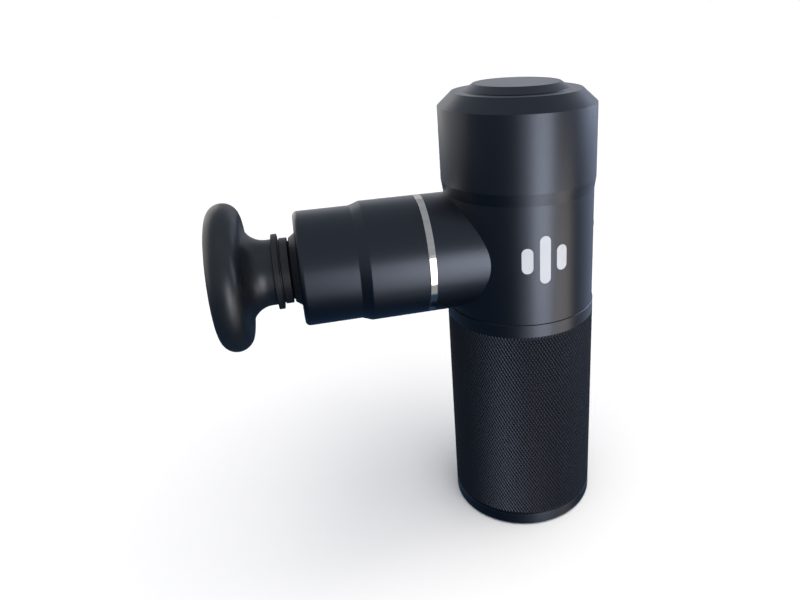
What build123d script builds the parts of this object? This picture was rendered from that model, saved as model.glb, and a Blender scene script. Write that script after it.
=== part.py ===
"""Handheld massage gun: an upright handle with a horizontal percussion arm.

Frame, in millimetres: the origin lies on the resting plane, on the handle's
axis. +Z runs up the handle, the arm points along -X, and the controls face +X.
"""
from build123d import *
from math import asin, degrees
import os

# --- Handle, housing and arm: outer sizes ---------------------------------
handle_radius = 24.35
sleeve_length = 72.0
sleeve_wall = 2.05
cap_height = 4.3            # top of the end ring, where the sleeve starts
housing_height = 68.1
mid_inset = 0.3             # the lower housing is this much slimmer than the handle
step_out = 0.55             # and the upper housing this much stouter than the lower
housing_wall = 2.15
step_above_arm = 18.5       # arm axis to the foot of the conical step
step_height = 3.7
shoulder_height = 4.1
shoulder_width = 4.4        # bevel round the top, seen from above
crown_height = 2.1          # raised bevelled disc on top
crown_base_radius = 16.3
crown_top_radius = 13.45
crown_edge = 0.2
arm_rise = 19.1             # housing base to the arm's axis
arm_radius = 18.6
neck_reach = 6.9            # neck beyond the housing's side
neck_root = 10.0
ring_width = 2.2
barrel_spigot = 9.7         # barrel into the neck
rear_barrel_length = 16.9
taper_length = 3.1
nose_radius = 17.5
barrel_length = 36.9
nose_rounding = 1.6
seam = 0.25                 # broken edges where two casings meet
small_edge = 0.3            # chamfers on pins, bearings and the head's rings
foot_inset = 5.3            # the rubber foot's edge to the handle's
foot_thickness = 1.3
foot_proud = 0.3            # how far the foot lifts the end ring off the table
spigot_length = 7.7         # end cap into the sleeve
collar_below = 10.0         # coupling collar into the sleeve and the housing
collar_above = 3.7
crown_depth = 2.2           # how far the crown sits in the housing's top

# --- Percussion drive -----------------------------------------------------
crank_throw = 3.5           # the stroke is twice this
rod_length = 30.0
rod_thickness = 5.0
rod_width = 6.0
rod_groove = 1.2
piston_radius = 9.2
piston_proud = 2.4          # piston out of the barrel at rest
piston_rear = 21.5
piston_edge = 0.5
fork_depth = 6.0            # past the wrist pin
socket_wall = 2.1
socket_depth = 17.0
bush_wall = 1.65
guide_wall = 1.5
barrel_spigot_wall = 2.0
guide_setback = 6.1         # guide tube's front behind the barrel's
bush_length = 24.0
damper_gap = 2.2            # guide tube to barrel, filled by two rubber rings
wrist_pin_radius = 2.0
wrist_pin_inset = 0.5
crank_pin_radius = 2.5
pin_head = 1.0
big_bearing_radius = 6.0
bearing_width = 5.0
eye_wall = 2.2
wheel_radius = 12.3
wheel_thickness = 4.5
weight_thickness = 3.0
weight_clearance = 1.5
wheel_hub_gap = 1.6
relief_radius = 1.8
wheel_above_rod = 2.1
chamber_below_rod = 4.4
chamber_gap = 1.0
chamber_wall = 1.8
pad_reach = 14.0            # handle axis to the pad that carries the guide tube
pad_root = 8.0
flange_thickness = 2.5
seal_wall = 2.0
seal_lip = 2.0              # how far the seal stands out of the barrel
seal_bead = 0.8
bead_length = 1.5
lip_thickness = 0.4
guide_screws_round = 4
guide_screw_radius = 1.0
guide_head_radius = 1.85
guide_head_height = 1.9
guide_tapped_depth = 3.5
guide_bolt_inset = 2.0
damper_width = 4.0
pin_bush_wall = 1.0         # bronze bush in the rod's small end
small_eye_wall = 1.1

# --- Motor ----------------------------------------------------------------
shaft_radius = 2.0
shaft_proud = 0.5
small_bearing_radius = 5.0
small_bearing_width = 4.0
plate_thickness = 3.0
spigot_wall = 1.5
stator_radius = 15.4
stator_height = 15.0
slots = 12
tooth_width = 2.6
shoe_thickness = 1.4
shoe_gap = 1.4
back_iron_radius = 9.8
coil_gap = 0.4
coil_build = 1.3
air_gap = 0.5
magnet_thickness = 1.7
magnets = 14
magnet_spacing = 0.5
bell_wall = 1.4
bell_roof = 2.2
bell_edge = 0.8
window_length = 7.5
window_width = 4.6
hub_radius = 4.5
bolt_inset = 2.6            # motor screws to the housing's bore
bolt_radius = 1.25
bolt_head_radius = 2.2
bolt_head_height = 1.9
bolt_reach = 1.6            # into the housing's ledge
ledge_width = 4.9
ledge_thickness = 2.0
brace_thickness = 2.7       # crankcase rim that the motor screws hold up
hex_depth = 1.0
lead_radius = 0.7
lead_spacing = 3.0
lead_way = 1.2              # room beside the leads
lead_bend = 2.2

# --- Battery --------------------------------------------------------------
cell_radius = 9.15
cell_length = 65.0
cell_gap = 0.4
strap_thickness = 0.3
holder_depth = 8.5          # how far a holder grips the cells
board_thickness = 1.6
pack_drop = 1.3             # battery board to the top of the sleeve
pack_gap = 2.2              # cell straps to the battery board
cap_floor = 2.8
holder_floor = 2.4
holder_rim = 0.75
pack_board_thickness = 1.0
strap_radius = 3.5
battery_lead_lap = 4.0      # leads up the back of the main board

# --- Controls -------------------------------------------------------------
button_radius = 5.0
button_travel = 0.6
button_proud = 0.5
button_lip = 1.0            # inner flange that keeps the button in its hole
button_above_arm = 4.6
light_count = 4
light_pitch = 1.9
light_radius = 0.6
usb_width = 9.0
usb_height = 3.2
usb_above_base = 7.9
usb_wall = 0.3
usb_recess = 0.5            # socket's mouth behind the housing's surface
usb_depth = 5.5
tongue_thickness = 0.7
board_half_width = 10.0
switch_height = 2.0
switch_width = 6.0
plunger_radius = 1.7
plunger_height = 0.45
button_flange = 0.6
post_spacing = 8.0          # main board's screws to the middle
post_radius = 2.0
post_depth = 2.9
post_root = 3.1             # how far the posts reach into the crankcase's wall
board_screw_radius = 0.9
board_head_radius = 1.7
board_head_height = 1.2
chip_height = 1.0

# --- Massage head ---------------------------------------------------------
rim_radius = 4.56           # rounding of the mushroom's rim
rim_circle = 17.57          # circle that the rim's rounding follows
rim_beyond_barrel = 19.7
face_crown = 0.6
waist_radius = 9.9
waist_fillet = 6.5
collar_radius = 9.95
collar_length = 2.3
neck_groove_radius = 9.5
neck_groove_length = 0.5
rib_radius = 11.4
rib_length = 1.65
plug_length = 15.6
core_radius = 6.0
core_length = 10.0
o_ring_section = 0.9
o_ring_setback = 4.0
plug_lead_in = 0.8

# --- Clearances -----------------------------------------------------------
running = 0.05              # a shaft that turns or slides in its hole
fit_gap = 0.05              # turned casings that screw or slide together
face_gap = 0.1              # flat faces of two moving pieces
soft_gap = 0.3              # rubber beside a moving piece
slip_gap = 0.1              # pieces that slide together when it is put together
open_pivot = 0.3            # crank pin to crank wheel, where the linkage opens

# --- Places worked out from the sizes above --------------------------------
housing_base = cap_height + sleeve_length
housing_top = housing_base + housing_height
arm_z = housing_base + arm_rise
step_z = arm_z + step_above_arm
mid_radius = handle_radius - mid_inset
upper_radius = mid_radius + step_out
annulus_radius = upper_radius - shoulder_width
clear_of_casing = upper_radius + 5      # a cut that surely comes out through the wall
bore_radius = mid_radius - housing_wall
sleeve_bore = handle_radius - sleeve_wall
foot_recess = handle_radius - foot_inset + slip_gap
# Distances along the arm start at the handle's axis.
neck_end = upper_radius + neck_reach
ring_end = neck_end + ring_width
barrel_end = ring_end + barrel_length
guide_end = barrel_end - guide_setback
piston_front = barrel_end + piston_proud
rim_distance = barrel_end + rim_beyond_barrel
spigot_start = ring_end - barrel_spigot
taper_start = ring_end + rear_barrel_length
taper_end = taper_start + taper_length
bush_radius = piston_radius + running + bush_wall
guide_radius = bush_radius + guide_wall
bush_end = guide_end - 0.5
spigot_bore = guide_radius + damper_gap
neck_bore = spigot_bore + barrel_spigot_wall
flange_radius = neck_bore - 0.2
seal_bore = piston_radius + soft_gap
bead_end = guide_end + bead_length
seal_radius = seal_bore + seal_wall
socket_radius = piston_radius - socket_wall
guide_bolt_circle = flange_radius - guide_bolt_inset
bush_bore = wrist_pin_radius + running
small_eye = bush_bore + pin_bush_wall

wrist_distance = rod_length - crank_throw
fork_end = wrist_distance + fork_depth
rod_bottom = arm_z - rod_thickness / 2
rod_top = arm_z + rod_thickness / 2
wheel_bottom = rod_top + wheel_above_rod
wheel_top = wheel_bottom + wheel_thickness
rod_swing = degrees(asin(crank_throw / rod_length))
chamber_radius = wheel_radius + chamber_gap
chamber_outer = chamber_radius + chamber_wall
chamber_floor = rod_bottom - chamber_below_rod
plate_z = arm_z + flange_radius + 0.4
plate_top = plate_z + plate_thickness
ledge_top = plate_top + ledge_thickness
ledge_bore = bore_radius - ledge_width
bolt_circle = bore_radius - bolt_inset
brace_low = plate_z - brace_thickness
bolt_angles = (50, 130, 230, 310)
spigot_radius = small_bearing_radius + spigot_wall
stator_base = ledge_top + 1.8
stator_top = stator_base + stator_height
spigot_top = stator_top + 2.5
magnet_bore = stator_radius + air_gap
magnet_radius = magnet_bore + magnet_thickness
bell_radius = magnet_radius + bell_wall
bell_base = ledge_top + 0.6
bell_top = spigot_top + 4.0
roof_base = bell_top - bell_roof
hub_base = spigot_top + 0.6
window_circle = (hub_radius + magnet_radius) / 2

board_x = chamber_outer + 0.5
lead_x = board_x + 0.4
board_face = board_x + board_thickness
board_low = housing_base + 4.2
board_high = plate_z - 5.2
plunger_end = board_face + switch_height + plunger_height
button_back = plunger_end + button_travel + running
button_z = arm_z + button_above_arm
light_span = (light_count - 1) * light_pitch
light_z = button_z - button_radius - button_lip - 0.4 - light_radius - light_span / 2
usb_z = housing_base + usb_above_base
usb_mouth = mid_radius - usb_recess

cell_circle = (2 * cell_radius + cell_gap) / 3 ** 0.5
pack_radius = cell_circle + cell_radius
holder_radius = pack_radius + holder_rim
collar_bore = holder_radius + fit_gap + slip_gap
# The pack hangs under the housing, and the cushion below takes up what is left.
pack_board_z = housing_base - pack_drop
cell_high = pack_board_z - pack_gap - strap_thickness
cell_low = cell_high - cell_length
cushion_top = cell_low - strap_thickness - holder_floor

plug_radius = socket_radius - running
head_start = piston_front + face_gap
plug_end = head_start - plug_length
rib_start = head_start + collar_length + neck_groove_length
post_heights = (board_low + 9.5, board_high - 2.5)
post_places = [(side * post_spacing, height) for height in post_heights for side in (-1, 1)]
rib_end = rib_start + rib_length
core_end = rib_end + core_length
waist_top = waist_radius + waist_fillet
rim_back = rim_distance - rim_radius
rim_front = rim_distance + rim_radius
face_front = rim_front + face_crown
waist_end = rim_back - waist_fillet

arm_axis = Axis((0, 0, arm_z), (-1, 0, 0))
arm_side = Plane(origin=(0, 0, arm_z), x_dir=(-1, 0, 0), z_dir=(0, 1, 0))
rear_plane = Plane(origin=(0, 0, 0), x_dir=(0, 1, 0), z_dir=(1, 0, 0))


def across_arm(distance):
    """Plane square to the arm, facing its tip, at a distance from the handle's axis."""
    return Plane(origin=(-distance, 0, arm_z), x_dir=(0, 1, 0), z_dir=(-1, 0, 0))


def turn(points, mode=Mode.ADD):
    """Revolve an outline of (radius, height) points about the handle's axis."""
    with BuildSketch(Plane.XZ) as outline:
        with BuildLine():
            Polyline(*points, close=True)
        make_face()
    revolve(outline.sketch, axis=Axis.Z, mode=mode)


def turn_arm(points, mode=Mode.ADD):
    """Revolve an outline of (distance, radius) points about the arm's axis."""
    with BuildSketch(arm_side) as outline:
        with BuildLine():
            Polyline(*points, close=True)
        make_face()
    revolve(outline.sketch, axis=arm_axis, mode=mode)


def box_points(low_a, high_a, low_b, high_b):
    """Corners of a rectangular ring section."""
    return [(low_a, low_b), (high_a, low_b), (high_a, high_b), (low_a, high_b)]


def save(piece, name):
    """Label a finished piece and write its file."""
    piece.part.label = name
    export_step(piece.part, f"parts/{name}.step")


os.makedirs("parts", exist_ok=True)

# === Casings ================================================================

with BuildPart() as foot_pad:
    with BuildSketch(Plane.XY):
        Circle(handle_radius - foot_inset)
    extrude(amount=foot_thickness)
    fillet(foot_pad.faces().sort_by(Axis.Z)[0].edges(), 0.4)
save(foot_pad, "foot_pad")

with BuildPart() as end_cap:
    turn([
        (0, foot_thickness), (foot_recess, foot_thickness), (foot_recess, foot_proud),
        (handle_radius - 2 * seam, foot_proud), (handle_radius, foot_proud + 2 * seam),
        (handle_radius, cap_height - seam), (handle_radius - seam, cap_height),
        (sleeve_bore - fit_gap, cap_height), (sleeve_bore - fit_gap, cap_height + spigot_length),
        (collar_bore, cap_height + spigot_length), (collar_bore, cap_floor), (0, cap_floor),
    ])
save(end_cap, "end_cap")

with BuildPart() as handle_sleeve:
    turn([
        (sleeve_bore, cap_height), (handle_radius - seam, cap_height),
        (handle_radius, cap_height + seam), (handle_radius, housing_base - seam),
        (handle_radius - seam, housing_base), (sleeve_bore, housing_base),
    ])
save(handle_sleeve, "handle_sleeve")

with BuildPart() as coupling_collar:
    turn([
        (collar_bore, housing_base - collar_below),
        (sleeve_bore - fit_gap, housing_base - collar_below),
        (sleeve_bore - fit_gap, housing_base), (bore_radius - fit_gap, housing_base),
        (bore_radius - fit_gap, housing_base + collar_above),
        (collar_bore, housing_base + collar_above),
    ])
save(coupling_collar, "coupling_collar")

with BuildPart() as upper_housing:
    turn([
        (bore_radius, housing_base), (mid_radius - seam, housing_base),
        (mid_radius, housing_base + seam), (mid_radius, step_z),
        (upper_radius, step_z + step_height), (upper_radius, housing_top - shoulder_height),
        (annulus_radius, housing_top), (crown_top_radius, housing_top),
        (crown_top_radius, housing_top - crown_depth), (bore_radius, housing_top - crown_depth),
        (bore_radius, ledge_top), (ledge_bore, ledge_top),
        (ledge_bore, plate_top), (bore_radius, plate_top),
    ])
    # Side opening that the neck plugs into.
    with BuildSketch(across_arm(0)):
        Circle(arm_radius)
    extrude(amount=clear_of_casing, mode=Mode.SUBTRACT)
    # Controls in the rear wall: button, row of lights and charging socket.
    with BuildSketch(rear_plane):
        with Locations((0, button_z)):
            Circle(button_radius + slip_gap)
        with Locations((0, light_z)):
            with GridLocations(1, light_pitch, 1, light_count):
                Circle(light_radius)
        with Locations((0, usb_z)):
            SlotOverall(usb_width + 4 * slip_gap, usb_height + 4 * slip_gap)
    extrude(amount=clear_of_casing, mode=Mode.SUBTRACT)
    # Screw holes up into the ledge.
    with BuildSketch(Plane.XY.offset(plate_top)):
        for angle in bolt_angles:
            with PolarLocations(bolt_circle, 1, start_angle=angle):
                Circle(bolt_radius)
    extrude(amount=bolt_reach + slip_gap, mode=Mode.SUBTRACT)
save(upper_housing, "upper_housing")

with BuildPart() as top_cap:
    turn([
        (0, housing_top - crown_depth), (crown_top_radius - fit_gap, housing_top - crown_depth),
        (crown_top_radius - fit_gap, housing_top), (crown_base_radius, housing_top),
        (crown_base_radius, housing_top + crown_edge), (crown_top_radius, housing_top + crown_height),
        (0, housing_top + crown_height),
    ])
save(top_cap, "top_cap")

with BuildPart() as arm_neck:
    turn_arm([
        (neck_root, neck_bore), (neck_end, neck_bore), (neck_end, arm_radius - seam),
        (neck_end - seam, arm_radius), (neck_root, arm_radius),
    ])
    with BuildSketch(Plane.XY):
        Circle(bore_radius)
    extrude(amount=housing_top, mode=Mode.SUBTRACT)
save(arm_neck, "arm_neck")

with BuildPart() as trim_ring:
    turn_arm([
        (neck_end, neck_bore), (ring_end, neck_bore), (ring_end, arm_radius - seam),
        (ring_end - seam, arm_radius), (neck_end + seam, arm_radius),
        (neck_end, arm_radius - seam),
    ])
save(trim_ring, "trim_ring")

with BuildPart() as barrel:
    turn_arm([
        (spigot_start, spigot_bore), (spigot_start, neck_bore - slip_gap),
        (ring_end, neck_bore - slip_gap), (ring_end, arm_radius - seam),
        (ring_end + seam, arm_radius), (taper_start, arm_radius),
        (taper_end, nose_radius), (barrel_end, nose_radius),
        (barrel_end, seal_radius + slip_gap), (bead_end, seal_radius + slip_gap),
        (bead_end, seal_radius + seal_bead + slip_gap),
        (guide_end, seal_radius + seal_bead + slip_gap),
        (guide_end, spigot_bore),
    ])
    nose_edges = barrel.edges().filter_by(GeomType.CIRCLE).filter_by(
        lambda edge: abs(edge.radius - nose_radius) < 0.01)
    fillet(nose_edges.sort_by(Axis.X)[0], nose_rounding)
save(barrel, "barrel")

with BuildPart() as nose_seal:
    turn_arm([
        (guide_end, seal_bore), (guide_end, seal_radius + seal_bead),
        (bead_end, seal_radius + seal_bead), (bead_end, seal_radius),
        (barrel_end, seal_radius), (barrel_end, seal_radius - 2 * slip_gap),
        (barrel_end + seal_lip, seal_bore + lip_thickness), (barrel_end + seal_lip, seal_bore),
    ])
save(nose_seal, "nose_seal")

# === Percussion guide and crankcase =========================================

with BuildPart() as guide_tube:
    turn_arm([
        (pad_reach, bush_radius), (pad_reach, flange_radius),
        (pad_reach + flange_thickness, flange_radius),
        (pad_reach + flange_thickness, guide_radius),
        (guide_end, guide_radius), (guide_end, bush_radius),
    ])
    with BuildSketch(across_arm(pad_reach)):
        with PolarLocations(guide_bolt_circle, guide_screws_round, start_angle=45):
            Circle(guide_screw_radius)
    extrude(amount=flange_thickness, mode=Mode.SUBTRACT)
save(guide_tube, "guide_tube")

with BuildPart() as guide_screws:
    with BuildSketch(across_arm(pad_reach + flange_thickness)):
        with PolarLocations(guide_bolt_circle, guide_screws_round, start_angle=45):
            Circle(guide_head_radius)
    extrude(amount=guide_head_height)
    with BuildSketch(across_arm(pad_reach - guide_tapped_depth)):
        with PolarLocations(guide_bolt_circle, guide_screws_round, start_angle=45):
            Circle(guide_screw_radius)
    extrude(amount=guide_tapped_depth + flange_thickness)
    with BuildSketch(across_arm(pad_reach + flange_thickness + guide_head_height)):
        with PolarLocations(guide_bolt_circle, guide_screws_round, start_angle=45):
            RegularPolygon(guide_head_radius / 2, 6)
    extrude(amount=-hex_depth, mode=Mode.SUBTRACT)
save(guide_screws, "guide_screws")

with BuildPart() as guide_bush:
    turn_arm(box_points(bush_end - bush_length, bush_end,
                        piston_radius + running, bush_radius))
save(guide_bush, "guide_bush")

with BuildPart() as damping_rings:
    for start in (ring_end + damper_width, guide_end - 2 * damper_width):
        turn_arm(box_points(start, start + damper_width, guide_radius, spigot_bore))
save(damping_rings, "damping_rings")

with BuildPart() as crankcase:
    turn(box_points(0, chamber_outer, chamber_floor - chamber_wall, plate_z))
    turn(box_points(chamber_outer - 1, bore_radius - slip_gap, brace_low, plate_z))
    with BuildSketch(across_arm(pad_root)):
        Circle(flange_radius)
    extrude(amount=pad_reach - pad_root)
    # Bosses that the main board screws to.
    with BuildSketch(rear_plane.offset(chamber_outer - post_root)):
        with Locations(*post_places):
            Circle(post_radius)
    extrude(amount=board_x - chamber_outer + post_root)
    # The casting is cut flat at the front, and the flange leaves a way for the leads.
    with BuildSketch(across_arm(pad_reach)):
        Rectangle(3 * bore_radius, 3 * bore_radius)
    extrude(amount=bore_radius, mode=Mode.SUBTRACT)
    with BuildSketch(Plane.XY.offset(brace_low)):
        with Locations((board_x - lead_way, 0)):
            Rectangle(bore_radius, 4 * lead_spacing, align=(Align.MIN, Align.CENTER))
    extrude(amount=brace_thickness, mode=Mode.SUBTRACT)
    turn(box_points(0, chamber_radius, chamber_floor, plate_z), mode=Mode.SUBTRACT)
    with BuildSketch(across_arm(0)):
        Circle(bush_radius)
    extrude(amount=pad_reach, mode=Mode.SUBTRACT)
    with BuildSketch(across_arm(pad_reach - guide_tapped_depth)):
        with PolarLocations(guide_bolt_circle, guide_screws_round, start_angle=45):
            Circle(guide_screw_radius)
    extrude(amount=guide_tapped_depth, mode=Mode.SUBTRACT)
    with BuildSketch(Plane.XY.offset(brace_low)):
        for angle in bolt_angles:
            with PolarLocations(bolt_circle, 1, start_angle=angle):
                Circle(bolt_radius)
    extrude(amount=brace_thickness, mode=Mode.SUBTRACT)
    with BuildSketch(rear_plane.offset(board_x - post_depth)):
        with Locations(*post_places):
            Circle(board_screw_radius)
    extrude(amount=post_depth, mode=Mode.SUBTRACT)
save(crankcase, "crankcase")

# === Crank, rod and piston ==================================================

with BuildPart() as crank_wheel:
    turn(box_points(shaft_radius, wheel_radius, wheel_bottom, wheel_top))
    turn(box_points(shaft_radius, hub_radius, wheel_top, plate_z - wheel_hub_gap))
    with BuildSketch(Plane.XY.offset(wheel_top)):
        Circle(wheel_radius)
        Circle(hub_radius + weight_clearance, mode=Mode.SUBTRACT)
        with Locations((wheel_radius, 0)):
            Rectangle(2 * wheel_radius, 3 * wheel_radius, mode=Mode.SUBTRACT)
    extrude(amount=weight_thickness)
    # Two holes lighten the side that the pin is on.
    with BuildSketch(Plane.XY.offset(wheel_bottom)):
        with PolarLocations(0.8 * wheel_radius, 2, start_angle=-45, angular_range=90, endpoint=True):
            Circle(relief_radius)
    extrude(amount=wheel_thickness, mode=Mode.SUBTRACT)
save(crank_wheel, "crank_wheel")

with BuildPart() as crank_pin:
    with BuildSketch(Plane.XY.offset(rod_bottom - pin_head)):
        with Locations((crank_throw, 0)):
            Circle(crank_pin_radius + pin_head)
    extrude(amount=pin_head)
    with BuildSketch(Plane.XY.offset(rod_bottom)):
        with Locations((crank_throw, 0)):
            Circle(crank_pin_radius)
    extrude(amount=wheel_bottom - open_pivot - rod_bottom)
save(crank_pin, "crank_pin")

with BuildPart() as big_end_bearing:
    with BuildSketch(Plane.XY.offset(arm_z - bearing_width / 2)):
        with Locations((crank_throw, 0)):
            Circle(big_bearing_radius)
            Circle(crank_pin_radius, mode=Mode.SUBTRACT)
    extrude(amount=bearing_width)
    bearing_edges = big_end_bearing.edges().filter_by(GeomType.CIRCLE).filter_by(
        lambda edge: edge.radius > big_bearing_radius - 0.01)
    chamfer(bearing_edges, small_edge)
save(big_end_bearing, "big_end_bearing")

with BuildPart() as connecting_rod:
    with BuildSketch(Plane.XY.offset(rod_bottom)):
        with Locations((crank_throw, 0)):
            Circle(big_bearing_radius + eye_wall)
        with Locations((-wrist_distance, 0)):
            Circle(small_eye + small_eye_wall)
        with Locations((crank_throw - rod_length / 2, 0)):
            Rectangle(rod_length - 2, rod_width)
    extrude(amount=rod_thickness)
    with BuildSketch(Plane.XY.offset(rod_bottom)):
        with Locations((crank_throw, 0)):
            Circle(big_bearing_radius)
        with Locations((-wrist_distance, 0)):
            Circle(small_eye)
    extrude(amount=rod_thickness, mode=Mode.SUBTRACT)
    # Lightening groove on the top face.
    with BuildSketch(Plane.XY.offset(rod_top - rod_groove)):
        with Locations((crank_throw - rod_length * 0.55, 0)):
            SlotOverall(rod_length * 0.4, rod_width / 2)
    extrude(amount=rod_groove, mode=Mode.SUBTRACT)
save(connecting_rod, "connecting_rod")

with BuildPart() as small_end_bush:
    with BuildSketch(Plane.XY.offset(rod_bottom)):
        with Locations((-wrist_distance, 0)):
            Circle(small_eye)
            Circle(bush_bore, mode=Mode.SUBTRACT)
    extrude(amount=rod_thickness)
save(small_end_bush, "small_end_bush")

with BuildPart() as piston:
    turn_arm([
        (piston_rear, 0), (piston_rear, piston_radius - piston_edge),
        (piston_rear + piston_edge, piston_radius), (piston_front - piston_edge, piston_radius),
        (piston_front, piston_radius - piston_edge), (piston_front, socket_radius + piston_edge),
        (piston_front - piston_edge, socket_radius), (piston_front - socket_depth, socket_radius),
        (piston_front - socket_depth, 0),
    ])
    # Fork that takes the rod's small end.
    with BuildSketch(Plane.XZ.offset(-piston_radius)):
        with Locations((-(piston_rear + fork_end) / 2, arm_z)):
            Rectangle(fork_end - piston_rear, rod_thickness + 2 * open_pivot)
    extrude(amount=2 * piston_radius, mode=Mode.SUBTRACT)
    with BuildSketch(Plane.XY.offset(arm_z - piston_radius)):
        with Locations((-wrist_distance, 0)):
            Circle(wrist_pin_radius)
    extrude(amount=2 * piston_radius, mode=Mode.SUBTRACT)
save(piston, "piston")

with BuildPart() as wrist_pin:
    with BuildSketch(Plane.XY.offset(arm_z - piston_radius + wrist_pin_inset)):
        with Locations((-wrist_distance, 0)):
            Circle(wrist_pin_radius)
    extrude(amount=2 * (piston_radius - wrist_pin_inset))
    chamfer(wrist_pin.edges().filter_by(GeomType.CIRCLE), small_edge)
save(wrist_pin, "wrist_pin")

# === Motor ==================================================================

with BuildPart() as motor_plate:
    turn(box_points(small_bearing_radius, bore_radius - slip_gap, plate_z, plate_top))
    turn(box_points(small_bearing_radius, spigot_radius, plate_top, spigot_top))
    turn(box_points(shaft_radius + 1, small_bearing_radius,
                    plate_z + small_bearing_width, spigot_top - small_bearing_width))
    # Way down for the motor leads.
    with BuildSketch(Plane.XY.offset(plate_z)):
        with Locations((lead_x, 0)):
            Rectangle(4 * lead_radius, 3 * lead_spacing)
        for angle in bolt_angles:
            with PolarLocations(bolt_circle, 1, start_angle=angle):
                Circle(bolt_radius)
    extrude(amount=plate_thickness, mode=Mode.SUBTRACT)
save(motor_plate, "motor_plate")

with BuildPart() as motor_screws:
    for angle in bolt_angles:
        with BuildSketch(Plane.XY.offset(brace_low - bolt_head_height)):
            with PolarLocations(bolt_circle, 1, start_angle=angle):
                Circle(bolt_head_radius)
        extrude(amount=bolt_head_height)
        with BuildSketch(Plane.XY.offset(brace_low)):
            with PolarLocations(bolt_circle, 1, start_angle=angle):
                Circle(bolt_radius)
        extrude(amount=brace_thickness + plate_thickness + bolt_reach)
        with BuildSketch(Plane.XY.offset(brace_low - bolt_head_height)):
            with PolarLocations(bolt_circle, 1, start_angle=angle):
                RegularPolygon(bolt_head_radius / 2, 6)
        extrude(amount=hex_depth, mode=Mode.SUBTRACT)
save(motor_screws, "motor_screws")

with BuildPart() as motor_bearings:
    for low in (plate_z, spigot_top - small_bearing_width):
        turn(box_points(shaft_radius + running, small_bearing_radius,
                        low, low + small_bearing_width))
save(motor_bearings, "motor_bearings")

with BuildPart() as motor_shaft:
    with BuildSketch(Plane.XY.offset(wheel_bottom)):
        Circle(shaft_radius)
    extrude(amount=bell_top + shaft_proud - wheel_bottom)
    chamfer(motor_shaft.edges().filter_by(GeomType.CIRCLE), small_edge)
save(motor_shaft, "motor_shaft")

with BuildPart() as stator_core:
    with BuildSketch(Plane.XY.offset(stator_base)):
        Circle(stator_radius)
        Circle(stator_radius - shoe_thickness, mode=Mode.SUBTRACT)
        # Gaps between the teeth's shoes.
        with PolarLocations(stator_radius, slots, start_angle=180 / slots):
            Rectangle(4 * shoe_thickness, shoe_gap, mode=Mode.SUBTRACT)
        with PolarLocations((back_iron_radius + stator_radius - 1.0) / 2, slots):
            Rectangle(stator_radius - back_iron_radius, tooth_width)
        Circle(back_iron_radius)
        Circle(spigot_radius, mode=Mode.SUBTRACT)
    extrude(amount=stator_height)
save(stator_core, "stator_core")

with BuildPart() as stator_coils:
    coil_width = tooth_width + 2 * coil_build
    coil_length = stator_radius - shoe_thickness - back_iron_radius - 2 * coil_gap
    coil_circle = back_iron_radius + coil_gap + coil_length / 2
    with BuildSketch(Plane.XY.offset(stator_base - coil_build)):
        with PolarLocations(coil_circle, slots):
            Rectangle(coil_length, coil_width)
    extrude(amount=stator_height + 2 * coil_build)
    with BuildSketch(Plane.XY.offset(stator_base)):
        with PolarLocations(coil_circle, slots):
            Rectangle(coil_length, tooth_width)
    extrude(amount=stator_height, mode=Mode.SUBTRACT)
save(stator_coils, "stator_coils")

with BuildPart() as rotor_bell:
    turn([
        (shaft_radius, hub_base), (hub_radius, hub_base), (hub_radius, roof_base),
        (magnet_radius, roof_base), (magnet_radius, bell_base), (bell_radius, bell_base),
        (bell_radius, bell_top - bell_edge), (bell_radius - bell_edge, bell_top),
        (shaft_radius, bell_top),
    ])
    # Cooling windows between the spokes.
    with BuildSketch(Plane.XY.offset(roof_base)):
        with PolarLocations(window_circle, 6):
            SlotOverall(window_length, window_width, rotation=90)
    extrude(amount=bell_roof, mode=Mode.SUBTRACT)
save(rotor_bell, "rotor_bell")

with BuildPart() as rotor_magnets:
    with BuildSketch(Plane.XY.offset(stator_base)):
        Circle(magnet_radius)
        Circle(magnet_bore, mode=Mode.SUBTRACT)
        with PolarLocations(magnet_radius, magnets):
            Rectangle(6, magnet_spacing, mode=Mode.SUBTRACT)
    extrude(amount=stator_height)
save(rotor_magnets, "rotor_magnets")

with BuildPart() as motor_leads:
    lead_z = plate_top + lead_radius + soft_gap
    lead_start = back_iron_radius + 1.5
    for side in (-lead_spacing, 0, lead_spacing):
        with BuildLine() as route:
            FilletPolyline(
                (lead_start, side, lead_z), (lead_x, side, lead_z),
                (lead_x, side, board_high), radius=lead_bend)
        with BuildSketch(Plane(origin=(lead_start, side, lead_z), z_dir=(1, 0, 0))):
            Circle(lead_radius)
        sweep(path=route.line)
save(motor_leads, "motor_leads")

# === Electronics and controls ===============================================

with BuildPart() as main_board:
    with BuildSketch(rear_plane.offset(board_x)):
        with Locations((0, (board_low + board_high) / 2)):
            Rectangle(2 * board_half_width, board_high - board_low)
        with Locations((0, usb_z)):
            Rectangle(usb_width + 2 * slip_gap, usb_height + 2 * slip_gap, mode=Mode.SUBTRACT)
        with Locations(*post_places):
            Circle(board_screw_radius, mode=Mode.SUBTRACT)
    extrude(amount=board_thickness)
save(main_board, "main_board")

with BuildPart() as board_screws:
    with BuildSketch(rear_plane.offset(board_face)):
        with Locations(*post_places):
            Circle(board_head_radius)
    extrude(amount=board_head_height)
    with BuildSketch(rear_plane.offset(board_x - post_depth)):
        with Locations(*post_places):
            Circle(board_screw_radius)
    extrude(amount=post_depth + board_thickness)
save(board_screws, "board_screws")

with BuildPart() as board_chips:
    with BuildSketch(rear_plane.offset(board_face)):
        with Locations((-4.0, light_z - 1.5)):
            Rectangle(4, 4)
        with Locations((4.0, light_z - 1.5)):
            Rectangle(3.6, 3.6)
        with Locations((-4.5, light_z + 3.5)):
            Rectangle(3, 1.6)
    extrude(amount=chip_height)
save(board_chips, "board_chips")

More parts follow.
